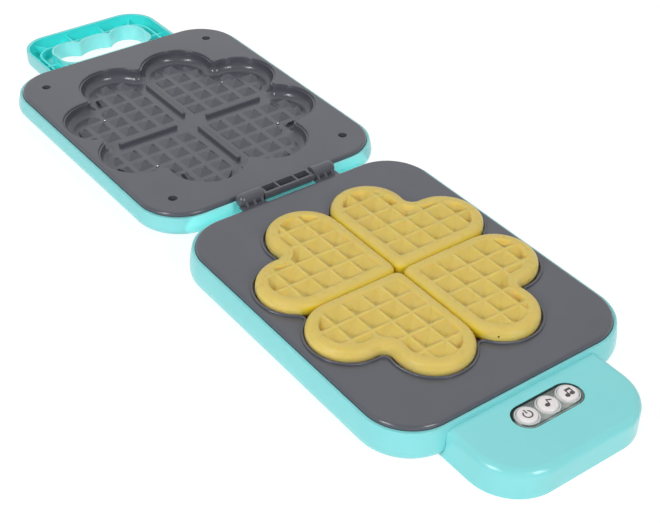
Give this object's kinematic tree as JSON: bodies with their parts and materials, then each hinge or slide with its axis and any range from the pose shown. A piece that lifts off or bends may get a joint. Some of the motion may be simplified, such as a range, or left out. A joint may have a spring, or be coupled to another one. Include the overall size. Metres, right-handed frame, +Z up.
{
  "type": "toy heart-waffle maker",
  "caption": "Toy waffle iron opened flat: aqua shells, grey plates with a heart-lobed pocket, lift-out yellow heart waffles, looped lid handle and a front block of push buttons.",
  "frame": {"origin": "on the table under the middle of the hinge, which is the middle of the opened toy's footprint", "axes": "+Z up from the table, +X to the right along the hinge, +Y from the hinge towards the opened lid's handle; the control block is towards -Y"},
  "size_m": [0.1668, 0.5156, 0.029],
  "materials": {
    "aqua_plastic": "glossy moulded ABS, aqua",
    "grey_plastic": "satin moulded ABS, dark grey",
    "waffle_plastic": "satin soft PVC, waffle yellow",
    "clear_plastic": "clear polycarbonate",
    "white_plastic": "satin moulded ABS, white",
    "silicone": "matt grey silicone",
    "board": "green solder mask",
    "light_lens": "clear-white diffused epoxy",
    "speaker_body": "black paper and plated steel",
    "black_plastic": "black moulded plastic",
    "wire": "PVC insulation",
    "cell_can": "printed sleeve on a steel can",
    "nickel": "nickel-plated spring steel",
    "rubber": "black rubber",
    "steel": "zinc-plated steel"
  },
  "bodies": {
    "base": {"base_shell": "aqua_plastic", "control_cover": "aqua_plastic", "battery_door": "aqua_plastic", "base_plate": "grey_plastic", "button_window": "clear_plastic", "button_pad": "silicone", "circuit_board": "board", "indicator_lights": "light_lens", "speaker": "speaker_body", "speaker_ring": "black_plastic", "speaker_wires": "wire", "battery_wires": "wire", "battery_cells": "cell_can", "battery_contacts": "nickel", "rubber_feet": "rubber", "hinge_pins": "steel", "base_plate_screws": "steel", "control_cover_screws": "steel", "board_screws": "steel", "battery_door_screw": "steel"},
    "lid": {"lid_shell": "aqua_plastic", "lid_plate": "grey_plastic", "lid_plate_screws": "steel"},
    "waffle_rear_right": {"waffle_rear_right": "waffle_plastic"},
    "waffle_rear_left": {"waffle_rear_left": "waffle_plastic"},
    "waffle_front_right": {"waffle_front_right": "waffle_plastic"},
    "waffle_front_left": {"waffle_front_left": "waffle_plastic"},
    "power_button": {"power_button": "white_plastic"},
    "note_button": {"note_button": "white_plastic"},
    "melody_button": {"melody_button": "white_plastic"}
  },
  "joints": [
    {"name": "lid_hinge", "type": "hinge", "parent": "base", "child": "lid", "pos_m": [0, 0, 0.024], "axis": [-1, 0, 0], "range_deg": [-180.77, 0]},
    {"name": "power_press", "type": "slide", "parent": "base", "child": "power_button", "axis": [0, 0, 1], "range_m": [-0.0012, 0], "stiffness_N_per_m": 300, "springref_m": 0.0004},
    {"name": "note_press", "type": "slide", "parent": "base", "child": "note_button", "axis": [0, 0, 1], "range_m": [-0.0012, 0], "stiffness_N_per_m": 300, "springref_m": 0.0004},
    {"name": "melody_press", "type": "slide", "parent": "base", "child": "melody_button", "axis": [0, 0, 1], "range_m": [-0.0012, 0], "stiffness_N_per_m": 300, "springref_m": 0.0004},
    {"name": "waffle_rear_right_lift", "type": "slide", "parent": "base", "child": "waffle_rear_right", "axis": [0, 0, 1], "range_m": [0, 0.04]},
    {"name": "waffle_rear_left_lift", "type": "slide", "parent": "base", "child": "waffle_rear_left", "axis": [0, 0, 1], "range_m": [0, 0.04]},
    {"name": "waffle_front_right_lift", "type": "slide", "parent": "base", "child": "waffle_front_right", "axis": [0, 0, 1], "range_m": [0, 0.04]},
    {"name": "waffle_front_left_lift", "type": "slide", "parent": "base", "child": "waffle_front_left", "axis": [0, 0, 1], "range_m": [0, 0.04]}
  ]
}
